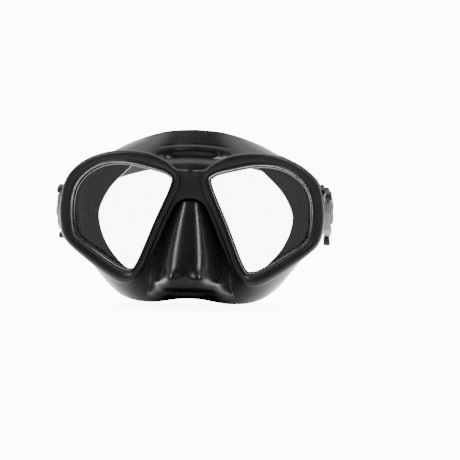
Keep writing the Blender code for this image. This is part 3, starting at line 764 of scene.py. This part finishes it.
# Rollers: a light grey acetal sleeve with twelve rounded ribs that grip the strap, on a ground steel pin.
ROLLER_Y = 0.012
ROLLER_RADIUS = 0.0020
ROLLER_RIB = 0.0004
ROLLER_RIBS = 12
ROLLER_BORE = 0.0011
ROLLER_HALF = 0.0073
ROLLER_STEPS = 96
ROLLER_CHAMFER = 0.0004
ROLLER_SHOULDER = 0.95
roller_acetal = satin_abs("roller_acetal", (0.38, 0.38, 0.40), (0.45, 0.45, 0.47), 0.24, 0.36)
for word, side in SIDES:
    bm = bmesh.new()
    rows = []
    for height, shrink, ribbed in ((-1, ROLLER_CHAMFER, 0), (-ROLLER_SHOULDER, 0, 1),
                                   (ROLLER_SHOULDER, 0, 1), (1, ROLLER_CHAMFER, 0)):
        row = []
        for k in range(ROLLER_STEPS):
            turn = 2 * math.pi * k / ROLLER_STEPS
            wave = ribbed * (0.5 - 0.5 * math.cos(ROLLER_RIBS * turn)) + (1 - ribbed)
            radius = ROLLER_RADIUS - shrink - ROLLER_RIB * wave
            row.append(Vector((STRAP_X + radius * math.cos(turn), ROLLER_Y + radius * math.sin(turn),
                               height * ROLLER_HALF)))
        rows.append(row)
    for height in (1, -1):
        rows.append([Vector((STRAP_X + ROLLER_BORE * math.cos(2 * math.pi * k / ROLLER_STEPS),
                             ROLLER_Y + ROLLER_BORE * math.sin(2 * math.pi * k / ROLLER_STEPS),
                             height * ROLLER_HALF)) for k in range(ROLLER_STEPS)])
    strip(bm, rows + rows[:1])
    tilted(bm, side)
    sleeve = finish_mesh(bm, word + "_ribbed_roller", word + "_roller", roller_acetal)
    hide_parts(word + "_roller")

# Steel pins and springs: stainless rod and coiled wire, drawn bright. The pins run through the rollers. The
# coils lie below the tabs' stems inside the yoke's arms, left solid here. A real coil shortens as its tab is
# pressed; these keep one length.
drawn_steel, steel_tree, steel_shader, steel_place = shader_of("drawn_steel")
steel_shader.inputs["Base Color"].default_value = (0.62, 0.62, 0.63, 1)
steel_shader.inputs["Metallic"].default_value = 1.0
drawn = noise_field(steel_tree, steel_place, 2500, 3)
steel_tree.links.new(between(steel_tree, drawn, 0.18, 0.34), steel_shader.inputs["Roughness"])
bump(steel_tree, steel_shader, drawn, 0.00001, 0.3)
SPRING_LOW = 0.00615
SPRING_HIGH = 0.00845
SPRING_RADIUS = 0.0011
SPRING_WIRE = 0.00025
SPRING_TURNS = 4
SPRING_STEPS = 20
WIRE_STEPS = 8
TAB_Y = 0.0035
for word, side in SIDES:
    for pin_slot in frame["nodes"][word + "_roller_pin"].material_slots:
        pin_slot.material = drawn_steel
    for tag, level in (("_upper", 1), ("_lower", -1)):
        bm = bmesh.new()
        rows = []
        for k in range(SPRING_TURNS * SPRING_STEPS + 1):
            turn = 2 * math.pi * k / SPRING_STEPS
            height = SPRING_LOW + (SPRING_HIGH - SPRING_LOW) * k / (SPRING_TURNS * SPRING_STEPS)
            row = []
            for j in range(WIRE_STEPS):
                around = 2 * math.pi * j / WIRE_STEPS
                radius = SPRING_RADIUS + SPRING_WIRE * math.cos(around)
                row.append(Vector((STRAP_X + radius * math.cos(turn), TAB_Y + radius * math.sin(turn),
                                   (height + SPRING_WIRE * math.sin(around)) * level)))
            rows.append(row)
        strip(bm, rows)
        bmesh.ops.holes_fill(bm, edges=bm.edges[:], sides=WIRE_STEPS)
        tilted(bm, side)
        coil = finish_mesh(bm, word + tag + "_coil", "strap_assembly", drawn_steel)
        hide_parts(word + tag + "_spring")
        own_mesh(coil)

# Release tabs: black ABS thumb pads above and below each yoke, ridged for a wet finger, each on a stem with a
# stop collar that a small coil spring pushes out.
PAD_HALF = (0.0021, 0.0048)
PAD_LOW = 0.0136
PAD_HIGH = 0.0174
PAD_EDGE = 0.0004
PAD_CORNER = 0.0010
PAD_RIDGES = 4
PAD_RIDGE = 0.00035
PAD_STEPS = 40
# Stem and stop collar: height above the pivot and radius, millimetres.
STEM_SECTION = [(9.0, 0), (9.0, 1.3), (9.15, 1.5), (9.95, 1.5), (10.1, 1.35), (10.1, 1.2), (14.2, 1.2),
                (14.2, 0)]
tab_abs = satin_abs("tab_abs", (0.012, 0.012, 0.0125), (0.018, 0.018, 0.0185), 0.32, 0.46)
for word, side in SIDES:
    for tag, level in (("_upper", 1), ("_lower", -1)):
        pad = [Vector((-PAD_HALF[1], PAD_LOW)), Vector((-PAD_HALF[1], PAD_HIGH - PAD_CORNER))]
        for k in range(PAD_STEPS + 1):
            t = k / PAD_STEPS
            crown = PAD_CORNER * abs(2 * t - 1) ** 6
            ridge_wave = PAD_RIDGE * (0.5 - 0.5 * math.cos(2 * math.pi * PAD_RIDGES * t))
            top = PAD_HIGH - crown - PAD_RIDGE + ridge_wave
            pad.append(Vector((-PAD_HALF[1] + 2 * PAD_HALF[1] * t, top)))
        pad += [Vector((PAD_HALF[1], PAD_HIGH - PAD_CORNER)), Vector((PAD_HALF[1], PAD_LOW))]
        pad = [point for i, point in enumerate(pad) if (point - pad[i - 1]).length > 0.00002]
        bm = pressed_sheet(on_side, Vector((1, 0, 0)), pad, [], STRAP_X - PAD_HALF[0], STRAP_X + PAD_HALF[0],
                           PAD_EDGE)
        turned(bm, STEM_SECTION, Vector((STRAP_X, TAB_Y, 0)), Vector((0, 0, 1)), Vector((1, 0, 0)))
        bmesh.ops.scale(bm, verts=bm.verts, vec=(1, 1, level))
        tilted(bm, side)
        thumb = finish_mesh(bm, word + tag + "_thumb_pad", word + tag + "_tab", tab_abs)
        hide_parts(word + tag + "_tab")

# Head strap: one moulding of black silicone 1.8 mm thick. It doubles back round each roller, its ends are
# cross-ribbed for grip, and behind the head it widens and splits in two.
STRAP_THICK = 0.0018
STRAP_HALF = 0.00725
STRAP_WIDE_HALF = 0.0085
STRAP_WIDEN_FROM = 0.090
STRAP_WIDEN_OVER = 0.050
SLIT_HALF = 0.0020
SLIT_REACH = 0.040
SLIT_END = 0.006
STRAP_SIDE = [(81.8, 36), (77.6, 66), (66, 98), (47, 125), (27, 141), (12, 147)]
STRAP_BACK = (0, 148.5)
TAIL_LIFT = STRAP_THICK + 0.0005
TAIL_START_Y = 0.020
TAIL_END_Y = 0.052
STRAP_SPACING = 0.0006
STRAP_EDGE = 0.0005
RIB_PITCH = 0.0030
RIB_HEIGHT = 0.00022
RIBBED_LENGTH = 0.062
LOOP_GAP = 0.0003
LOOP_STEPS = 12
REAR_STEPS = 16
RIB_FADE = 0.004
ACROSS = 4
STRAP_SHARP = 50


def strap_route():
    """Middle line of the strap from one tail end to the other, as (x, y) about the pivot."""
    radius = ROLLER_RADIUS + LOOP_GAP + STRAP_THICK / 2
    loop = []
    for i in range(LOOP_STEPS + 1):
        turn = math.pi * i / LOOP_STEPS
        loop.append(Vector((STRAP_X + radius * math.cos(turn), ROLLER_Y - radius * math.sin(turn))))
    rear = smooth_curve([loop[-1] / MM] + STRAP_SIDE + [STRAP_BACK], REAR_STEPS, closed=False)
    rear = [point * MM for point in rear]
    tail = [point + Vector((TAIL_LIFT, 0)) for point in rear if TAIL_START_Y < point.y < TAIL_END_Y]
    half = list(reversed(tail)) + loop + rear[1:]
    return half + [Vector((-point.x, point.y)) for point in reversed(half[:-1])]


def strap_half_width(point):
    share = ease((point.y - STRAP_WIDEN_FROM) / STRAP_WIDEN_OVER)
    return STRAP_HALF + (STRAP_WIDE_HALF - STRAP_HALF) * share


route = strap_route()
length = sum((b - a).length for a, b in zip(route, route[1:]))
count = round(length / STRAP_SPACING) | 1
line = resampled(route, count)
lower = []
upper = []
for i, point in enumerate(line):
    along = (line[min(i + 1, count - 1)] - line[max(i - 1, 0)]).normalized()
    from_end = min(i, count - 1 - i) * length / (count - 1)
    fade = ease((RIBBED_LENGTH - from_end) / RIB_FADE)
    rib = RIB_HEIGHT * fade * math.sin(2 * math.pi * from_end / RIB_PITCH)
    place = point + Vector((along.y, -along.x)) * rib
    half = strap_half_width(point)
    behind_head = point.y > STRAP_WIDEN_FROM and abs(point.x) < SLIT_REACH
    slit = SLIT_HALF * math.sqrt(ease((SLIT_REACH - abs(point.x)) / SLIT_END)) if behind_head else 0.0
    levels = [slit + (half - slit) * k / ACROSS for k in range(ACROSS + 1)]
    upper.append([Vector((place.x, place.y, level)) for level in levels])
    lower.append([Vector((place.x, place.y, -level)) for level in levels])
bm = bmesh.new()
strip(bm, upper, closed=False)
strip(bm, lower, closed=False)
tilted(bm, 1)
strap_silicone = silicone_of("strap_silicone", (0.0050, 0.0050, 0.0053), (0.0080, 0.0080, 0.0083),
                             0.50, 0.66, 0.20)
strap = finish_mesh(bm, "ribbed_strap", "strap_assembly", strap_silicone, sharp=STRAP_SHARP)
band = strap.modifiers.new("Band", "SOLIDIFY")
band.thickness = STRAP_THICK
band.offset = 0.0
band.use_even_offset = True
soft_edge = strap.modifiers.new("Soft edge", "BEVEL")
soft_edge.width = STRAP_EDGE
soft_edge.segments = 3
soft_edge.limit_method = "ANGLE"
soft_edge.angle_limit = math.radians(STRAP_SHARP)
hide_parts("strap")

# Strap keepers: a square silicone band behind each buckle that holds the strap's tail down.
KEEPER_Y = 0.034
KEEPER_LONG = 0.008
KEEPER_WALL = 0.0013
KEEPER_EASE = 0.0006
KEEPER_CORNER = 0.0009
KEEPER_EDGE = 0.0004


def box_loop(low, high, corner, y):
    """A rounded rectangle across the strap at a place along it."""
    corners = [Vector((low[0], low[1])), Vector((low[0], high[1])), Vector((high[0], high[1])),
               Vector((high[0], low[1]))]
    return [Vector((point.x, y, point.y)) for point in rounded_corners(corners, corner)]


near_keeper = [point.x for point in route if point.x > 0 and abs(point.y - KEEPER_Y) < KEEPER_LONG]
inner_low = (min(near_keeper) - STRAP_THICK / 2 - KEEPER_EASE, -STRAP_HALF - KEEPER_EASE)
inner_high = (max(near_keeper) + STRAP_THICK / 2 + KEEPER_EASE, STRAP_HALF + KEEPER_EASE)
outer_low = (inner_low[0] - KEEPER_WALL, inner_low[1] - KEEPER_WALL)
outer_high = (inner_high[0] + KEEPER_WALL, inner_high[1] + KEEPER_WALL)
for word, side in SIDES:
    bm = bmesh.new()
    rows = [box_loop(outer_low, outer_high, KEEPER_CORNER * 2, KEEPER_Y - KEEPER_LONG / 2),
            box_loop(outer_low, outer_high, KEEPER_CORNER * 2, KEEPER_Y + KEEPER_LONG / 2),
            box_loop(inner_low, inner_high, KEEPER_CORNER, KEEPER_Y + KEEPER_LONG / 2),
            box_loop(inner_low, inner_high, KEEPER_CORNER, KEEPER_Y - KEEPER_LONG / 2)]
    strip(bm, rows + rows[:1])
    bmesh.ops.remove_doubles(bm, verts=bm.verts, dist=WELD)
    bmesh.ops.recalc_face_normals(bm, faces=bm.faces)
    round_rims(bm, KEEPER_EDGE)
    tilted(bm, side)
    keeper = finish_mesh(bm, word + "_keeper_band", "strap_assembly", strap_silicone)
    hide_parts(word + "_strap_keeper")

# Stage: a white table in a white room. Seen straight on both are blank white, but for a painted shadow on the
# table under the piece. What they throw on the piece is dim from the front, so that black stays black, and
# bright from behind, the sides and below, so that turned-away faces catch a pale edge. The table's glow is
# also cut down under the piece in the light it throws, a painted shadow.
FLOOR_GAP = 0.001
FLOOR_SIZE = 6.0
SEEN_WHITE = 12.0
TABLE_GLOW = 5.5
# Painted shadow on the table: its inner and outer radius, and how far ahead of the origin it is centred.
TABLE_SHADE = (0.02, 0.07)
SHADE_AHEAD = 0.035
TABLE_FRONT = (-0.10, 0.03)
TABLE_FRONT_DIM = 0.12
# The room's light from the front at 0 to behind the piece at 1.
ROOM_LIGHT = [(0.0, 0.05), (0.45, 0.12), (0.6, 1.1), (1.0, 2.2)]
# Share of the seen white left in the middle of the painted shadow.
SHADE_LEFT = 0.7
STRAIGHT = 0.5


def softbox(name, place, size, power):
    lamp = bpy.data.lights.new(name, "AREA")
    lamp.shape = "RECTANGLE"
    lamp.size, lamp.size_y = size
    lamp.energy = power
    box = bpy.data.objects.new(name, lamp)
    bpy.context.scene.collection.objects.link(box)
    box.location = place
    box.rotation_mode = "QUATERNION"
    box.rotation_quaternion = (-Vector(place)).to_track_quat("-Z", "Y")


def math_node(tree, operation, *values):
    node = tree.nodes.new("ShaderNodeMath")
    node.operation = operation
    for socket, value in zip(node.inputs, values):
        if isinstance(value, float):
            socket.default_value = value
        else:
            tree.links.new(value, socket)
    return node.outputs["Value"]


def seen_straight(tree, seen, thrown, output):
    """Shows one shader to the camera, also through glass, and another to the light it throws."""
    path = tree.nodes.new("ShaderNodeLightPath")
    bounces = math_node(tree, "ADD", path.outputs["Diffuse Depth"], path.outputs["Glossy Depth"])
    through = math_node(tree, "MULTIPLY", path.outputs["Is Transmission Ray"],
                        math_node(tree, "LESS_THAN", bounces, STRAIGHT))
    either = math_node(tree, "MAXIMUM", path.outputs["Is Camera Ray"], through)
    choose = tree.nodes.new("ShaderNodeMixShader")
    tree.links.new(either, choose.inputs["Fac"])
    tree.links.new(thrown, choose.inputs[1])
    tree.links.new(seen, choose.inputs[2])
    tree.links.new(choose.outputs["Shader"], output.inputs["Surface"])


bm = bmesh.new()
bmesh.ops.create_grid(bm, x_segments=1, y_segments=1, size=FLOOR_SIZE)
bmesh.ops.translate(bm, verts=bm.verts, vec=(0, 0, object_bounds()[0].z - FLOOR_GAP))
floor_mesh = bpy.data.meshes.new("floor")
bm.to_mesh(floor_mesh)
bm.free()
paper, paper_tree, _, paper_place = shader_of("white_table")
apart = paper_tree.nodes.new("ShaderNodeSeparateXYZ")
paper_tree.links.new(paper_place, apart.inputs["Vector"])
ahead_of_piece = math_node(paper_tree, "ADD", apart.outputs["Y"], SHADE_AHEAD)
radius = math_node(paper_tree, "SQRT", math_node(paper_tree, "ADD",
                                                 math_node(paper_tree, "POWER", apart.outputs["X"], 2.0),
                                                 math_node(paper_tree, "POWER", ahead_of_piece, 2.0)))
# Painted shadow: 0 under the piece rising to 1 beyond it; it dims the light the table throws.
shade = between(paper_tree, radius, 0.0, 1.0, *TABLE_SHADE)
behind = between(paper_tree, apart.outputs["Y"], TABLE_FRONT_DIM, 1.0, *TABLE_FRONT)
paper_seen = paper_tree.nodes.new("ShaderNodeEmission")
# Painted shadow in the white the camera sees, over the same ring.
white = between(paper_tree, radius, SEEN_WHITE * SHADE_LEFT, SEEN_WHITE, *TABLE_SHADE)
paper_tree.links.new(white, paper_seen.inputs["Strength"])
paper_thrown = paper_tree.nodes.new("ShaderNodeEmission")
glow = math_node(paper_tree, "MULTIPLY", math_node(paper_tree, "MULTIPLY", shade, behind), TABLE_GLOW)
paper_tree.links.new(glow, paper_thrown.inputs["Strength"])
seen_straight(paper_tree, paper_seen.outputs["Emission"], paper_thrown.outputs["Emission"],
              paper_tree.nodes["Material Output"])
floor_mesh.materials.append(paper)
floor = bpy.data.objects.new("floor", floor_mesh)
bpy.context.scene.collection.objects.link(floor)

room = bpy.data.worlds.new("studio")
room.use_nodes = True
sky = room.node_tree
seen = sky.nodes["Background"]
seen.inputs["Color"].default_value = (1, 1, 1, 1)
seen.inputs["Strength"].default_value = SEEN_WHITE
thrown = sky.nodes.new("ShaderNodeBackground")
facing = sky.nodes.new("ShaderNodeSeparateXYZ")
sky.links.new(sky.nodes.new("ShaderNodeTexCoord").outputs["Generated"], facing.inputs["Vector"])
turned_back = between(sky, facing.outputs["Y"], 0.0, 1.0, -1.0, 1.0)
sweep = tint(sky, turned_back, [(stop, (light, light, light)) for stop, light in ROOM_LIGHT])
sky.links.new(sweep, thrown.inputs["Color"])
seen_straight(sky, seen.outputs["Background"], thrown.outputs["Background"], sky.nodes["World Output"])
bpy.context.scene.world = room
softbox("left_high_box", (-0.62, -0.55, 0.72), (0.20, 0.7), 5.0)
softbox("right_high_box", (0.62, -0.55, 0.72), (0.20, 0.7), 5.0)
softbox("overhead_box", (0, 0.10, 1.1), (1.2, 0.5), 1.5)
